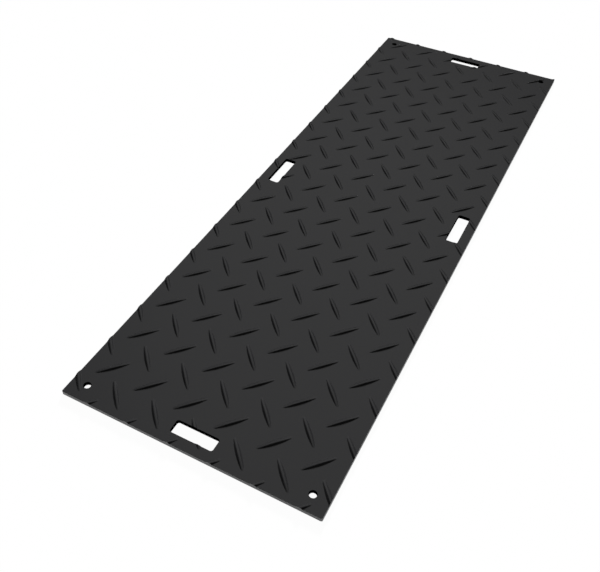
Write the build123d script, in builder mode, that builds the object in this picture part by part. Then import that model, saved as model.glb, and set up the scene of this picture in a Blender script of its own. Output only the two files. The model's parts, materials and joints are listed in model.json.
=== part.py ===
from build123d import *
import math
import os

# Ground protection mat: one sheet of black HDPE, moulded in one piece with a
# raised tread on its upper face, then sawn to size and cut through with four
# hand slots and four corner holes.
# The origin is the middle of the underside. The length runs along Y, the
# width along X, and the tread points up along Z.

# Sheet: 2 ft by 6 ft, and 1/2 in thick over the tread
mat_width = 609.6
mat_length = 1828.8
sheet_thickness = 10.0
mat_corner_radius = 4.0

# Tread bars: low arches with sloping flanks and a narrow flat crest
tread_length = 74.0       # where the arch comes down to the sheet
tread_width = 12.0        # over the flanks, in the middle of the arch
tread_height = 2.7
crest_width = 4.0
tread_root = 2.0          # how deep a bar goes on into the sheet
tread_overrun = 1.0       # degrees that its arch goes on, past where it meets the sheet
tread_angle = 48.0        # degrees between a bar and the width of the mat
tread_pitch_across = 99.0
tread_pitch_along = 112.0

# Hand slots: one along the middle of each edge
end_slot_length = 100.0
side_slot_length = 114.0
slot_width = 31.0
slot_corner_radius = 5.0
slot_margin = 26.0        # edge of the mat to the near side of a slot

# Corner holes, for tying or pinning mats together
hole_diameter = 16.0
hole_inset = 38.1         # hole centre from both edges

total_height = sheet_thickness + tread_height
flank_run = (tread_width - crest_width) / 2
arch_radius = (tread_length**2 / 4 + tread_height**2) / (2 * tread_height)
arch_angle = math.asin(tread_length / 2 / arch_radius)


def tread_places(first_across, first_along, angle):
    """Where the bars of one direction lie: at every pitch that still reaches the mat."""
    lean = math.radians(angle)
    reach_across = mat_width / 2 + tread_length / 2 * math.cos(lean)
    reach_along = mat_length / 2 + tread_length / 2 * abs(math.sin(lean))
    first_column = math.ceil((-reach_across - first_across) / tread_pitch_across)
    last_column = math.floor((reach_across - first_across) / tread_pitch_across)
    first_row = math.ceil((-reach_along - first_along) / tread_pitch_along)
    last_row = math.floor((reach_along - first_along) / tread_pitch_along)
    places = []
    for column in range(first_column, last_column + 1):
        for row in range(first_row, last_row + 1):
            x = first_across + column * tread_pitch_across
            y = first_along + row * tread_pitch_along
            places.append(Location((x, y, sheet_thickness), (0, 0, angle)))
    return places


# One tread bar: the mould for it was cut by a wheel with sloping sides, so the
# bar is a short arc of that wheel's rim, and it runs out into the sheet at both ends
end_angle = arch_angle + math.radians(tread_overrun)
wheel_centre = (0, 0, tread_height - arch_radius)
wheel_section = Plane(
    origin=wheel_centre,
    x_dir=(0, 1, 0),
    z_dir=(math.cos(end_angle), 0, math.sin(end_angle)),
)
root_radius = arch_radius - tread_height - tread_root
root_half_width = tread_width / 2 + flank_run * tread_root / tread_height
with BuildPart() as tread_bar:
    with BuildSketch(wheel_section):
        with BuildLine():
            Polyline(
                (-root_half_width, root_radius),
                (root_half_width, root_radius),
                (crest_width / 2, arch_radius),
                (-crest_width / 2, arch_radius),
                close=True,
            )
        make_face()
    revolve(
        axis=Axis(wheel_centre, (0, 1, 0)),
        revolution_arc=2 * math.degrees(end_angle),
    )

with BuildPart() as mat:
    # The flat sheet
    with BuildSketch() as outline:
        RectangleRounded(mat_width, mat_length, mat_corner_radius)
    extrude(amount=sheet_thickness)

    # The tread: bars of two directions in turn, half a pitch apart both ways
    rising = tread_places(tread_pitch_across / 2, -tread_pitch_along / 4, tread_angle)
    falling = tread_places(0, tread_pitch_along / 4, -tread_angle)
    with Locations(*rising, *falling):
        add(tread_bar.part)

    # The saw cuts the outer bars off flush with the edge of the sheet
    extrude(outline.sketch, amount=total_height, mode=Mode.INTERSECT)

    # Hand slots and corner holes go through the sheet and the tread alike
    slot_inset = slot_margin + slot_width / 2
    with BuildSketch():
        with GridLocations(0, mat_length - 2 * slot_inset, 1, 2):
            RectangleRounded(end_slot_length, slot_width, slot_corner_radius)
        with GridLocations(mat_width - 2 * slot_inset, 0, 2, 1):
            RectangleRounded(slot_width, side_slot_length, slot_corner_radius)
        with GridLocations(
            mat_width - 2 * hole_inset, mat_length - 2 * hole_inset, 2, 2
        ):
            Circle(hole_diameter / 2)
    extrude(amount=total_height, mode=Mode.SUBTRACT)

mat.part.label = "mat"

os.makedirs("parts", exist_ok=True)
export_step(mat.part, "parts/mat.step")
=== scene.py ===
"""Ground protection mat: its surface, tread and edges in black HDPE, on a white studio floor."""

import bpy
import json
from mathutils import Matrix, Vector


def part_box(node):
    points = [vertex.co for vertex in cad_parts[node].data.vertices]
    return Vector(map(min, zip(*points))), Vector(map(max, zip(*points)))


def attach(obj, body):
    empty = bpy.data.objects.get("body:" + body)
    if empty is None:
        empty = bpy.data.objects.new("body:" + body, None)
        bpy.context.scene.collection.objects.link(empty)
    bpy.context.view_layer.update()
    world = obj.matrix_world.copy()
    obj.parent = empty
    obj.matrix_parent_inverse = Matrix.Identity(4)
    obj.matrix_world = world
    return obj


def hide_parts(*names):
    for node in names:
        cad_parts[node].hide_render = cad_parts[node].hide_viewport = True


bl_info = {
    "name": "Ground protection mat",
    "version": (1, 0, 0),
    "blender": (4, 5, 0),
    "location": "View3D > Sidebar > Ground mat",
    "description": "Models and finishes a one-piece plastic ground mat with a raised tread",
    "category": "Object",
}

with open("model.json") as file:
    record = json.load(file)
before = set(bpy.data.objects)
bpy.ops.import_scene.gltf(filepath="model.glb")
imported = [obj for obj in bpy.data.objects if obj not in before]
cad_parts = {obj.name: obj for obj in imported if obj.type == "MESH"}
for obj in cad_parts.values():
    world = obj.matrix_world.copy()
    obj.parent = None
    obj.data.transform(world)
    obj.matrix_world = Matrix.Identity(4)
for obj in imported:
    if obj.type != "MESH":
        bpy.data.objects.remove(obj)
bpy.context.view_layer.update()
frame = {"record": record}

import json
import math

import bmesh
import bpy
from mathutils import Matrix, Vector

MM = 0.001
CAD_LOW, CAD_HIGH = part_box("mat")
MOUNTS = {mount["name"]: mount for mount in frame["record"]["mounts"]}
HOLES = MOUNTS["corner_holes"]["dims"]

# How many flat steps stand for each kind of curve
ARCH_STEPS = 8       # along a tread bar
CORNER_STEPS = 6     # round a corner of the mat or of a slot
EASED_STEPS = 2      # across an eased edge
HOLE_STEPS = 40      # round a corner hole
FLOOR_STEPS = 96     # round the studio floor

SAME_POINT = 0.001 * MM    # points closer than this are one
SAME_LEVEL = 0.01 * MM     # places closer than this are level with each other
WALL_LIMIT = 0.5           # a face whose normal is less upright than this is a wall
FLAT_LIMIT = 0.99          # a face whose normal is more upright than this is flat

HDPE_IOR = 1.54            # high-density polyethylene


def linear(hex_colour):
    """A colour written in sRGB hex, as Blender's linear red, green, blue and alpha."""
    shades = [int(hex_colour[i:i + 2], 16) / 255 for i in (1, 3, 5)]
    return [s / 12.92 if s <= 0.04045 else ((s + 0.055) / 1.055) ** 2.4 for s in shades] + [1.0]


def distance(name, description, metres):
    """A setting in metres."""
    return bpy.props.FloatProperty(
        name=name, description=description, default=metres, min=0.0, unit="LENGTH", precision=4
    )


def angle(name, description, degrees):
    """A setting that is an angle."""
    return bpy.props.FloatProperty(
        name=name, description=description, default=math.radians(degrees), subtype="ANGLE"
    )


def strength(name, description, default):
    """The strength of a lamp or of a part of the room's light."""
    return bpy.props.FloatProperty(name=name, description=description, default=default, min=0.0)


def colour(name, description, hex_colour):
    """A colour, written in sRGB hex."""
    return bpy.props.FloatVectorProperty(
        name=name, description=description, default=linear(hex_colour),
        size=4, subtype="COLOR", min=0, max=1
    )


class MatSizes(bpy.types.PropertyGroup):
    """Sizes of the mat, in metres"""

    width: distance("Width", "Across the mat", CAD_HIGH.x - CAD_LOW.x)
    length: distance("Length", "Along the mat", CAD_HIGH.y - CAD_LOW.y)
    height: distance("Height", "From the underside to the top of the tread", CAD_HIGH.z)
    sheet: distance("Sheet", "Thickness of the sheet under the tread", 10 * MM)
    corner: distance("Corner", "Radius of the mat's corners", 4 * MM)
    rim: distance("Rim", "Width of the eased edge round the sheet, slots and holes", 0.8 * MM)

    bar_length: distance("Bar length", "Where the arch of a tread bar meets the sheet", 80 * MM)
    bar_width: distance("Bar width", "Across the flanks, in the middle of a tread bar", 12.4 * MM)
    crest_width: distance("Crest width", "Across the crest of a tread bar", 4.4 * MM)
    crest_round: distance("Crest round", "Width of the rounding along the crest", 1.2 * MM)
    bar_root: distance("Bar root", "Depth that a tread bar goes on into the sheet", 2 * MM)
    foot_rise: distance("Foot rise", "Height of the hollow foot of a tread bar", 0.4 * MM)
    foot_spread: distance("Foot spread", "How far the foot runs out over the sheet", 0.8 * MM)
    pitch_across: distance("Pitch across", "From bar to like bar, across the mat", 99 * MM)
    pitch_along: distance("Pitch along", "From bar to like bar, along the mat", 112 * MM)
    bar_angle: angle("Bar angle", "Between a tread bar and the width of the mat", 48)

    end_slot: distance("End slot", "Length of the hand slots at the two ends", 100 * MM)
    side_slot: distance("Side slot", "Length of the hand slots at the two sides", 114 * MM)
    slot_width: distance("Slot width", "Short side of a hand slot", 31 * MM)
    slot_corner: distance("Slot corner", "Radius of a hand slot's corners", 5 * MM)
    slot_margin: distance("Slot margin", "Edge of the mat to the near side of a slot", 26 * MM)
    hole_diameter: distance("Hole diameter", "Of a corner hole", 2 * HOLES["hole_r_mm"] * MM)
    hole_span_across: distance("Holes across", "Centre to centre", HOLES["spacing_x_mm"] * MM)
    hole_span_along: distance("Holes along", "Centre to centre", HOLES["spacing_y_mm"] * MM)


class MatColours(bpy.types.PropertyGroup):
    """Colours of the mat and of the floor under it"""

    plastic: colour("Plastic", "Black HDPE as it left the mould", "#262627")
    plastic_bloom: colour("Plastic bloom", "The same where its skin is a little duller", "#282829")
    # Partly painted light: the cut plastic's own paler tone, made lighter so that the outer edge reads
    # as lit
    sawn_painted_light: colour("Sawn edge", "HDPE where the saw cut the sheet to size", "#6A6A6B")
    # Painted shade: near black, so that the walls of slots and holes read as in deep shade
    routed_painted_shade: colour("Routed wall", "HDPE where the cutter made the slots and holes", "#050505")
    paper: colour("Floor", "Light that the studio floor throws back", "#E6E6E6")


class StudioSettings(bpy.types.PropertyGroup):
    """The key lamp and the two pale walls of the room"""

    key_strength: strength("Key lamp", "Strength of the lamp behind the far end", 6.6)
    key_elevation: angle("Key height", "Of the key lamp above the floor", 20)
    key_heading: angle("Key heading", "Of the key lamp, left of the far end", 18)
    key_softness: angle("Key softness", "Angle that the key lamp fills, seen from the mat", 8)

    fill: strength("Fill", "Even light of the room from all round", 0.01)

    glow: strength("Glow", "Light of the pale wall over the far end", 0.6)
    glow_elevation: angle("Glow height", "Of that wall's middle above the floor", 50.5)
    glow_heading: angle("Glow heading", "Of that wall's middle, left of the far end", 21)
    glow_core: angle("Glow core", "From that wall's middle to where its light starts to fall", 15)
    glow_reach: angle("Glow reach", "From that wall's middle to where its light ends", 31)

    near_glow: strength("Near glow", "Light of the dim wall round the near right corner", 0.25)
    near_elevation: angle("Near height", "Of the dim wall's middle; below 0 only its top is seen", -35)
    near_heading: angle("Near heading", "Of the dim wall's middle, left of the far end", 225)
    near_core: angle("Near core", "From the dim wall's middle to where its light starts to fall", 61)
    near_reach: angle("Near reach", "From the dim wall's middle to where its light ends", 97)


def only(piece):
    """Make one object the only selected one, and the active one."""
    bpy.ops.object.select_all(action="DESELECT")
    piece.select_set(True)
    bpy.context.view_layer.objects.active = piece


def place_in_mesh(piece):
    """Move an object's place, turn and scale into its mesh, so that it sits at the origin."""
    only(piece)
    bpy.ops.object.transform_apply(location=True, rotation=True, scale=True)


def select_verts(piece, wanted):
    """In edit mode, select the vertices for which wanted(place) is true."""
    bpy.ops.mesh.select_mode(type="VERT")
    bpy.ops.mesh.select_all(action="DESELECT")
    mesh = bmesh.from_edit_mesh(piece.data)
    for vert in mesh.verts:
        vert.select_set(wanted(vert.co))
    bmesh.update_edit_mesh(piece.data)


def select_edges(piece, wanted):
    """In edit mode, select the edges for which wanted(edge) is true."""
    bpy.ops.mesh.select_mode(type="EDGE")
    bpy.ops.mesh.select_all(action="DESELECT")
    mesh = bmesh.from_edit_mesh(piece.data)
    for edge in mesh.edges:
        edge.select_set(wanted(edge))
    bmesh.update_edit_mesh(piece.data)


def rounded_block(name, centre, width, length_along, low, high, corner):
    """A block with upright rounded corners, centred over a point of the floor."""
    bpy.ops.mesh.primitive_cube_add(
        size=1,
        location=(centre[0], centre[1], (low + high) / 2),
        scale=(width, length_along, high - low),
    )
    block = bpy.context.active_object
    block.name = name
    place_in_mesh(block)
    bpy.ops.object.mode_set(mode="EDIT")

    def is_upright(edge):
        return abs(edge.verts[0].co.z - edge.verts[1].co.z) > (high - low) / 2

    select_edges(block, is_upright)
    bpy.ops.mesh.bevel(offset=corner, segments=CORNER_STEPS, affect="EDGES")
    bpy.ops.object.mode_set(mode="OBJECT")
    return block


def join(pieces, name):
    """Join objects into one, under a new name."""
    only(pieces[0])
    for piece in pieces:
        piece.select_set(True)
    bpy.ops.object.join()
    pieces[0].name = name
    return pieces[0]


def combine(piece, operation, tool):
    """Unite, cut or intersect a piece with a tool, and remove the tool."""
    modifier = piece.modifiers.new(operation, "BOOLEAN")
    modifier.operation = operation
    modifier.solver = "MANIFOLD"
    modifier.object = tool
    only(piece)
    bpy.ops.object.modifier_apply(modifier=modifier.name)
    bpy.data.objects.remove(tool, do_unlink=True)


def cutters(sizes):
    """The shapes of all four hand slots and four corner holes, in one object."""
    past_mat = 5 * MM
    low, high = -past_mat, sizes.height + past_mat
    slot_inset = sizes.slot_margin + sizes.slot_width / 2
    far = sizes.length / 2 - slot_inset
    side = sizes.width / 2 - slot_inset
    shapes = []
    for y in (-far, far):
        shapes.append(rounded_block(
            "slot", (0, y), sizes.end_slot, sizes.slot_width, low, high, sizes.slot_corner
        ))
    for x in (-side, side):
        shapes.append(rounded_block(
            "slot", (x, 0), sizes.slot_width, sizes.side_slot, low, high, sizes.slot_corner
        ))
    for x in (-sizes.hole_span_across / 2, sizes.hole_span_across / 2):
        for y in (-sizes.hole_span_along / 2, sizes.hole_span_along / 2):
            bpy.ops.mesh.primitive_cylinder_add(
                vertices=HOLE_STEPS, radius=sizes.hole_diameter / 2, depth=high - low,
                location=(x, y, (low + high) / 2)
            )
            hole = bpy.context.active_object
            place_in_mesh(hole)
            shapes.append(hole)
    return join(shapes, "cutters")


def tread_bar(sizes):
    """One tread bar at the origin, lying along X.

    It is a short arc of the rim of a wheel with sloping sides, as the mould for it was cut by one.
    """
    half, rise = sizes.bar_length / 2, sizes.height - sizes.sheet
    arch_radius = (half ** 2 + rise ** 2) / (2 * rise)
    wheel_centre = Vector((0, 0, sizes.height - arch_radius))
    overrun = math.radians(1)
    arch_end = math.asin(half / arch_radius) + overrun
    flank_run = (sizes.bar_width - sizes.crest_width) / 2
    root_width = sizes.bar_width + 2 * flank_run * sizes.bar_root / rise
    depth = rise + sizes.bar_root
    middle = sizes.height - depth / 2

    # The wheel's section, wide at the root and narrow at the crest
    bpy.ops.mesh.primitive_plane_add(
        size=1, location=(0, 0, middle), rotation=(0, math.pi / 2, 0)
    )
    bar = bpy.context.active_object
    bar.name = "tread_bar"
    bar.scale = (depth, root_width, 1)
    place_in_mesh(bar)
    bpy.ops.object.mode_set(mode="EDIT")
    select_verts(bar, lambda place: place.z > middle)
    bpy.ops.transform.resize(
        value=(1, sizes.crest_width / root_width, 1), center_override=(0, 0, sizes.height)
    )
    bpy.ops.object.mode_set(mode="OBJECT")

    # Turned back to one end of the arch, and spun to the other
    bar.matrix_world = (
        Matrix.Translation(wheel_centre)
        @ Matrix.Rotation(-arch_end, 4, "Y")
        @ Matrix.Translation(-wheel_centre)
    )
    place_in_mesh(bar)
    bpy.ops.object.mode_set(mode="EDIT")
    bpy.ops.mesh.select_all(action="SELECT")
    bpy.ops.mesh.spin(
        steps=ARCH_STEPS, angle=2 * arch_end, center=wheel_centre, axis=(0, -1, 0)
    )
    bpy.ops.mesh.select_all(action="SELECT")
    bpy.ops.mesh.remove_doubles(threshold=SAME_POINT)
    bpy.ops.mesh.normals_make_consistent(inside=False)

    def along_crest(edge):
        first, last = edge.verts
        on_rim = all(
            (vert.co - wheel_centre).xz.length > arch_radius - SAME_LEVEL for vert in edge.verts
        )
        return on_rim and abs(first.co.y - last.co.y) < SAME_LEVEL

    select_edges(bar, along_crest)
    bpy.ops.mesh.bevel(offset=sizes.crest_round, segments=EASED_STEPS, affect="EDGES")

    # The hollow foot: cut through at its top and just under the face of the sheet, and spread there
    below_face = 0.05 * MM
    foot = sizes.sheet - below_face
    for level in (foot, sizes.sheet + sizes.foot_rise):
        bpy.ops.mesh.select_all(action="SELECT")
        bpy.ops.mesh.bisect(plane_co=(0, 0, level), plane_no=(0, 0, 1))
    for side in (-1, 1):
        select_verts(bar, lambda place: abs(place.z - foot) < SAME_POINT and place.y * side > 0)
        bpy.ops.transform.translate(value=(0, side * sizes.foot_spread, 0))
    bpy.ops.object.mode_set(mode="OBJECT")
    return bar


def places(first, pitch, reach):
    """The lowest place and the number of places, one at every pitch from -reach to reach."""
    low = math.ceil((-reach - first) / pitch)
    high = math.floor((reach - first) / pitch)
    return first + low * pitch, high - low + 1


def tread_rows(sizes, bar, first_across, first_along, lean):
    """A copy of the bar, turned by its lean from the mat's width and repeated over the whole mat."""
    rows = bar.copy()
    rows.data = bar.data.copy()
    rows.name = "tread_rows"
    bpy.context.collection.objects.link(rows)
    reach_across = sizes.width / 2 + sizes.bar_length / 2 * math.cos(lean)
    reach_along = sizes.length / 2 + sizes.bar_length / 2 * abs(math.sin(lean))
    x, columns = places(first_across, sizes.pitch_across, reach_across)
    y, lines = places(first_along, sizes.pitch_along, reach_along)
    rows.rotation_euler = (0, 0, lean)
    rows.location = (x, y, 0)
    place_in_mesh(rows)
    repeats = ((columns, (sizes.pitch_across, 0, 0)), (lines, (0, sizes.pitch_along, 0)))
    for count, step in repeats:
        repeat = rows.modifiers.new("repeat", "ARRAY")
        repeat.use_relative_offset = False
        repeat.use_constant_offset = True
        repeat.constant_offset_displace = step
        repeat.count = count
        bpy.ops.object.modifier_apply(modifier=repeat.name)
    return rows


class GROUND_MAT_OT_sheet(bpy.types.Operator):
    """Model the flat sheet with its slots, holes and eased rims"""

    bl_idname = "ground_mat.sheet"
    bl_label = "Sheet"

    def execute(self, context):
        sizes = context.scene.ground_mat_sizes
        sheet = rounded_block(
            "mat_surface", (0, 0), sizes.width, sizes.length, 0, sizes.sheet, sizes.corner
        )
        combine(sheet, "DIFFERENCE", cutters(sizes))
        bpy.ops.object.mode_set(mode="EDIT")

        def on_rim(edge):
            walls = [abs(face.normal.z) < WALL_LIMIT for face in edge.link_faces]
            return walls.count(True) == 1 and len(walls) == 2

        select_edges(sheet, on_rim)
        bpy.ops.mesh.bevel(offset=sizes.rim, segments=EASED_STEPS, affect="EDGES")
        bpy.ops.object.mode_set(mode="OBJECT")
        return {"FINISHED"}


class GROUND_MAT_OT_tread(bpy.types.Operator):
    """Model one tread bar, repeat it in its two directions and join it to the sheet"""

    bl_idname = "ground_mat.tread"
    bl_label = "Tread"

    def execute(self, context):
        sizes = context.scene.ground_mat_sizes
        sheet = bpy.data.objects["mat_surface"]
        bar = tread_bar(sizes)
        rising = tread_rows(
            sizes, bar, sizes.pitch_across / 2, -sizes.pitch_along / 4, sizes.bar_angle
        )
        falling = tread_rows(sizes, bar, 0, sizes.pitch_along / 4, -sizes.bar_angle)
        bpy.data.objects.remove(bar, do_unlink=True)
        tread = join([rising, falling], "tread")

        # The saw and the cutter take off what stands past the edge or over a slot or hole
        saw = rounded_block(
            "saw", (0, 0), sizes.width, sizes.length, 0, sizes.height * 2, sizes.corner
        )
        combine(tread, "INTERSECT", saw)
        combine(tread, "DIFFERENCE", cutters(sizes))
        combine(sheet, "UNION", tread)
        return {"FINISHED"}


def add_node(tree, kind, settings, links=()):
    """Add a node, set its sockets and options, and link other nodes' outputs to its sockets."""
    node = tree.nodes.new(kind)
    for name, value in settings.items():
        if name in node.inputs:
            node.inputs[name].default_value = value
        else:
            setattr(node, name, value)
    for name, source in dict(links).items():
        tree.links.new(source, node.inputs[name])
    return node


def new_material(name):
    """An empty node material."""
    material = bpy.data.materials.new(name)
    material.use_nodes = True
    material.node_tree.nodes.clear()
    return material


def moulded_hdpe(colours):
    """HDPE as it left the mould: a waxy skin with a fine even grain, and a faint cloudiness."""
    material = new_material("moulded_black_hdpe")
    tree = material.node_tree
    grain_size, grain_depth = 1.2 * MM, 0.05 * MM
    cloud_size = 60 * MM
    shiniest, dullest = 0.27, 0.33
    place = add_node(tree, "ShaderNodeTexCoord", {}).outputs["Object"]
    grain = add_node(
        tree, "ShaderNodeTexNoise", {"Scale": 1 / grain_size, "Detail": 2.0}, {"Vector": place}
    )
    cloud = add_node(
        tree, "ShaderNodeTexNoise", {"Scale": 1 / cloud_size, "Detail": 3.0}, {"Vector": place}
    )
    tone = add_node(
        tree, "ShaderNodeMix", {"data_type": "RGBA"}, {"Factor": cloud.outputs["Fac"]}
    )
    # The mix node's colours share their names with its other sockets, so they go by number
    tone.inputs[6].default_value = colours.plastic
    tone.inputs[7].default_value = colours.plastic_bloom
    sheen = add_node(
        tree, "ShaderNodeMapRange", {"To Min": shiniest, "To Max": dullest},
        {"Value": cloud.outputs["Fac"]},
    )
    bump = add_node(
        tree, "ShaderNodeBump", {"Strength": 0.25, "Distance": grain_depth},
        {"Height": grain.outputs["Fac"]},
    )
    shader = add_node(
        tree, "ShaderNodeBsdfPrincipled", {"IOR": HDPE_IOR},
        {"Base Color": tone.outputs[2], "Roughness": sheen.outputs["Result"],
         "Normal": bump.outputs["Normal"]},
    )
    add_node(tree, "ShaderNodeOutputMaterial", {}, {"Surface": shader.outputs["BSDF"]})
    return material


def cut_hdpe(name, shade, gloss, mark_spacing, mark_depth):
    """HDPE cut through: duller than the moulded skin, with fine upright marks of the tool."""
    material = new_material(name)
    tree = material.node_tree
    mark_height = 40 * MM
    shiniest, dullest = 0.4, 0.5
    place = add_node(tree, "ShaderNodeTexCoord", {}).outputs["Object"]
    stretched = add_node(
        tree, "ShaderNodeMapping",
        {"Scale": (1 / mark_spacing, 1 / mark_spacing, 1 / mark_height)}, {"Vector": place},
    )
    marks = add_node(
        tree, "ShaderNodeTexNoise", {"Scale": 1.0, "Detail": 2.0},
        {"Vector": stretched.outputs["Vector"]},
    )
    sheen = add_node(
        tree, "ShaderNodeMapRange", {"To Min": shiniest, "To Max": dullest},
        {"Value": marks.outputs["Fac"]},
    )
    bump = add_node(
        tree, "ShaderNodeBump", {"Strength": 0.5, "Distance": mark_depth},
        {"Height": marks.outputs["Fac"]},
    )
    shader = add_node(
        tree, "ShaderNodeBsdfPrincipled",
        {"IOR": HDPE_IOR, "Specular IOR Level": gloss, "Base Color": shade},
        {"Roughness": sheen.outputs["Result"], "Normal": bump.outputs["Normal"]},
    )
    add_node(tree, "ShaderNodeOutputMaterial", {}, {"Surface": shader.outputs["BSDF"]})
    return material


def sawn_painted_light_hdpe(colours):
    """The outer edge, cut by a circular saw. Its grey is partly the cut plastic's own paler tone and
    partly painted light, lighter still so that the edge reads as lit.
    """
    return cut_hdpe(
        "sawn_painted_light_black_hdpe", colours.sawn_painted_light, gloss=0.5, mark_spacing=1.5 * MM, mark_depth=0.1 * MM
    )


def routed_painted_shade_hdpe(colours):
    """The walls of slots and holes, cut by a router: smooth, and near black with no sheen, which is
    painted shade for the deep shade inside them.
    """
    # No sheen either, so that the painted shade stays black
    return cut_hdpe(
        "routed_painted_shade_black_hdpe", colours.routed_painted_shade, gloss=0.0, mark_spacing=0.8 * MM, mark_depth=0.05 * MM
    )


class GROUND_MAT_OT_finish(bpy.types.Operator):
    """Give the mat its moulded skin, its saw-cut edge in a grey that is partly painted light, and its
    cutter walls in painted shade, and set it in the frame
    """

    bl_idname = "ground_mat.finish"
    bl_label = "Finish"

    def execute(self, context):
        sizes = context.scene.ground_mat_sizes
        colours = context.scene.ground_mat_colours
        mat = bpy.data.objects["mat_surface"]
        mat.data.materials.clear()
        for make in (moulded_hdpe, sawn_painted_light_hdpe, routed_painted_shade_hdpe):
            mat.data.materials.append(make(colours))
        moulded, sawn_painted_light, routed_painted_shade = range(3)
        for face in mat.data.polygons:
            slope = abs(face.normal.z)
            on_rim = face.center.z < sizes.sheet - SAME_LEVEL and slope < FLAT_LIMIT
            if slope < WALL_LIMIT or on_rim:
                edge_distance = min(
                    sizes.width / 2 - abs(face.center.x), sizes.length / 2 - abs(face.center.y)
                )
                # Walls by the outer edge take the grey that is partly painted light, and the walls of
                # slots and holes take the painted shade
                face.material_index = sawn_painted_light if edge_distance < sizes.corner else routed_painted_shade
            else:
                face.material_index = moulded

        # Creases over this angle stay sharp, and large faces keep their own direction
        crease = math.radians(30)
        only(mat)
        bpy.ops.object.shade_smooth_by_angle(angle=crease)
        even = mat.modifiers.new("even", "WEIGHTED_NORMAL")
        even.keep_sharp = True
        bpy.ops.object.modifier_apply(modifier=even.name)
        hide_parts("mat")
        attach(mat, "root")
        return {"FINISHED"}


class GROUND_MAT_OT_stage(bpy.types.Operator):
    """Set out the white floor, the room's light, the key lamp and the camera"""

    bl_idname = "ground_mat.stage"
    bl_label = "Studio"

    def execute(self, context):
        colours = context.scene.ground_mat_colours
        studio = context.scene.ground_mat_studio
        white_floor(colours)
        room_light(studio)
        key_lamp(studio)
        camera()
        context.scene.view_settings.view_transform = "Standard"
        return {"FINISHED"}


def seen_by(tree, *rays):
    """1 for rays of light of the given kinds, and 0 for all others."""
    ray = add_node(tree, "ShaderNodeLightPath", {})
    seen = ray.outputs[rays[0]]
    for kind in rays[1:]:
        either = add_node(
            tree, "ShaderNodeMath", {"operation": "ADD", "use_clamp": True},
            {0: seen, 1: ray.outputs[kind]},
        )
        seen = either.outputs[0]
    return seen


def white_floor(colours):
    """A white floor. Seen directly or in a reflection it is white paper with a faint shadow."""
    radius, gap_under_mat = 12, 0.2 * MM
    # The floor seen is mostly its own light, and only the small rest takes the mat's shadow
    own_light, shadow_tone = 0.975, 0.03
    bpy.ops.mesh.primitive_circle_add(
        vertices=FLOOR_STEPS, radius=radius, fill_type="NGON", location=(0, 0, -gap_under_mat)
    )
    floor = bpy.context.active_object
    floor.name = "studio_floor"
    place_in_mesh(floor)
    material = new_material("white_studio_floor")
    tree = material.node_tree
    seen = seen_by(tree, "Is Camera Ray", "Is Glossy Ray", "Is Transmission Ray")
    plain = add_node(tree, "ShaderNodeBsdfDiffuse", {"Color": colours.paper})
    faint = add_node(
        tree, "ShaderNodeBsdfDiffuse", {"Color": (shadow_tone, shadow_tone, shadow_tone, 1)}
    )
    glow = add_node(tree, "ShaderNodeEmission", {"Strength": own_light})
    paper = add_node(tree, "ShaderNodeAddShader", {}, {0: faint.outputs[0], 1: glow.outputs[0]})
    surface = add_node(
        tree, "ShaderNodeMixShader", {}, {0: seen, 1: plain.outputs[0], 2: paper.outputs[0]}
    )
    add_node(tree, "ShaderNodeOutputMaterial", {}, {"Surface": surface.outputs[0]})
    floor.data.materials.append(material)


def pale_wall(tree, direction, heading, elevation, core, reach, brightness, fill=0.0):
    """The light of one pale wall of the room: even in its middle, and falling off to the fill."""
    level = math.cos(elevation)
    middle = (-math.sin(heading) * level, math.cos(heading) * level, math.sin(elevation))
    towards = add_node(
        tree, "ShaderNodeVectorMath", {"operation": "DOT_PRODUCT"}, {0: direction}
    )
    towards.inputs[1].default_value = middle
    light = add_node(
        tree, "ShaderNodeMapRange",
        {"interpolation_type": "SMOOTHSTEP", "From Min": math.cos(reach), "From Max": math.cos(core),
         "To Min": fill, "To Max": fill + brightness},
        {"Value": towards.outputs["Value"]},
    )
    return light.outputs["Result"]


def room_light(studio):
    """A dim room that the mat reflects, with two pale walls.

    One wall stands high over the far end, where the photograph's view sees it in the flat sheet. The
    dimmer one stands low round the near right corner, for the views from behind and from the sides.
    """
    world = bpy.data.worlds.new("studio_room")
    world.use_nodes = True
    bpy.context.scene.world = world
    tree = world.node_tree
    tree.nodes.clear()
    direction = add_node(tree, "ShaderNodeTexCoord", {}).outputs["Generated"]
    far_wall = pale_wall(
        tree, direction, studio.glow_heading, studio.glow_elevation,
        studio.glow_core, studio.glow_reach, studio.glow, studio.fill
    )
    near_wall = pale_wall(
        tree, direction, studio.near_heading, studio.near_elevation,
        studio.near_core, studio.near_reach, studio.near_glow
    )
    glow = add_node(tree, "ShaderNodeMath", {"operation": "ADD"}, {0: far_wall, 1: near_wall})
    seen = seen_by(tree, "Is Camera Ray", "Is Transmission Ray")
    room = add_node(tree, "ShaderNodeBackground", {}, {"Strength": glow.outputs[0]})
    white = add_node(tree, "ShaderNodeBackground", {"Strength": 1.0, "Color": (1, 1, 1, 1)})
    surface = add_node(
        tree, "ShaderNodeMixShader", {}, {0: seen, 1: room.outputs[0], 2: white.outputs[0]}
    )
    add_node(tree, "ShaderNodeOutputWorld", {}, {"Surface": surface.outputs[0]})


def key_lamp(studio):
    """The key light: low behind the far end, so that it rakes across the tread."""
    lamp = bpy.data.lights.new("key_lamp", "SUN")
    lamp.energy = studio.key_strength
    lamp.angle = studio.key_softness
    holder = bpy.data.objects.new("key_lamp", lamp)
    holder.visible_glossy = False
    holder.rotation_euler = (studio.key_elevation - math.pi / 2, 0, studio.key_heading)
    bpy.context.scene.collection.objects.link(holder)


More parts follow.
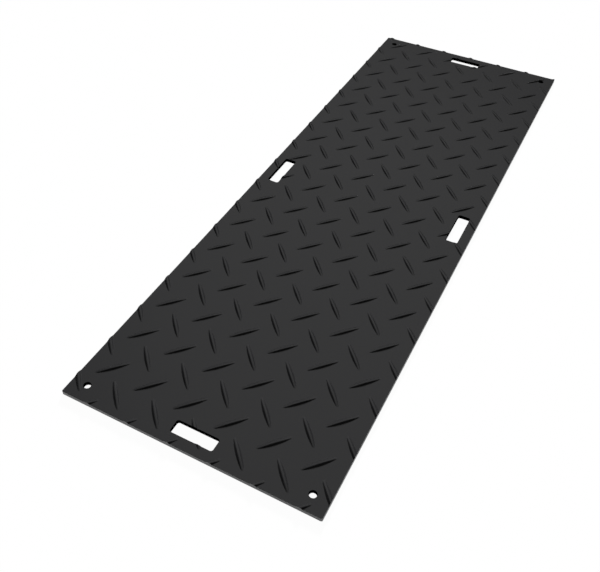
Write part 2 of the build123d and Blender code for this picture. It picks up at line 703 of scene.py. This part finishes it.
def camera():
    """The photograph's viewpoint, above the near right corner, looking along the mat."""
    eye = Vector((0.5209, -1.5348, 1.2708))
    heading = math.radians(26.58)
    down = math.radians(45.12)
    roll = math.radians(1.73)
    image_width, focal_pixels, centre_pixel = 600, 735.0, 283.7
    optics = bpy.data.cameras.new("camera")
    optics.sensor_width = 36
    optics.lens = focal_pixels / image_width * optics.sensor_width
    optics.shift_x = 0.5 - centre_pixel / image_width
    optics.clip_start, optics.clip_end = 0.05, 100
    holder = bpy.data.objects.new("camera", optics)
    turn = (
        Matrix.Rotation(heading, 4, "Z")
        @ Matrix.Rotation(math.pi / 2 - down, 4, "X")
        @ Matrix.Rotation(roll, 4, "Z")
    )
    holder.matrix_world = Matrix.Translation(eye) @ turn
    bpy.context.scene.collection.objects.link(holder)
    bpy.context.scene.camera = holder


class GROUND_MAT_PT_sidebar(bpy.types.Panel):
    """Lists the steps, sizes, colours and lights of the mat"""

    bl_idname = "GROUND_MAT_PT_sidebar"
    bl_label = "Ground mat"
    bl_space_type = "VIEW_3D"
    bl_region_type = "UI"
    bl_category = "Ground mat"

    def draw(self, context):
        for step in STEPS:
            self.layout.operator(step)
        scene = context.scene
        for group in (scene.ground_mat_sizes, scene.ground_mat_colours, scene.ground_mat_studio):
            box = self.layout.box()
            for name in group.bl_rna.properties.keys():
                if name not in ("rna_type", "name"):
                    box.prop(group, name)


STEPS = ("ground_mat.sheet", "ground_mat.tread", "ground_mat.finish", "ground_mat.stage")
CLASSES = (
    MatSizes, MatColours, StudioSettings,
    GROUND_MAT_OT_sheet, GROUND_MAT_OT_tread, GROUND_MAT_OT_finish, GROUND_MAT_OT_stage,
    GROUND_MAT_PT_sidebar,
)


def register():
    for cls in CLASSES:
        bpy.utils.register_class(cls)
    bpy.types.Scene.ground_mat_sizes = bpy.props.PointerProperty(type=MatSizes)
    bpy.types.Scene.ground_mat_colours = bpy.props.PointerProperty(type=MatColours)
    bpy.types.Scene.ground_mat_studio = bpy.props.PointerProperty(type=StudioSettings)


def unregister():
    del bpy.types.Scene.ground_mat_studio
    del bpy.types.Scene.ground_mat_colours
    del bpy.types.Scene.ground_mat_sizes
    for cls in reversed(CLASSES):
        bpy.utils.unregister_class(cls)


def main():
    register()
    bpy.ops.ground_mat.sheet()
    bpy.ops.ground_mat.tread()
    bpy.ops.ground_mat.finish()
    bpy.ops.ground_mat.stage()


if __name__ == "__main__":
    main()
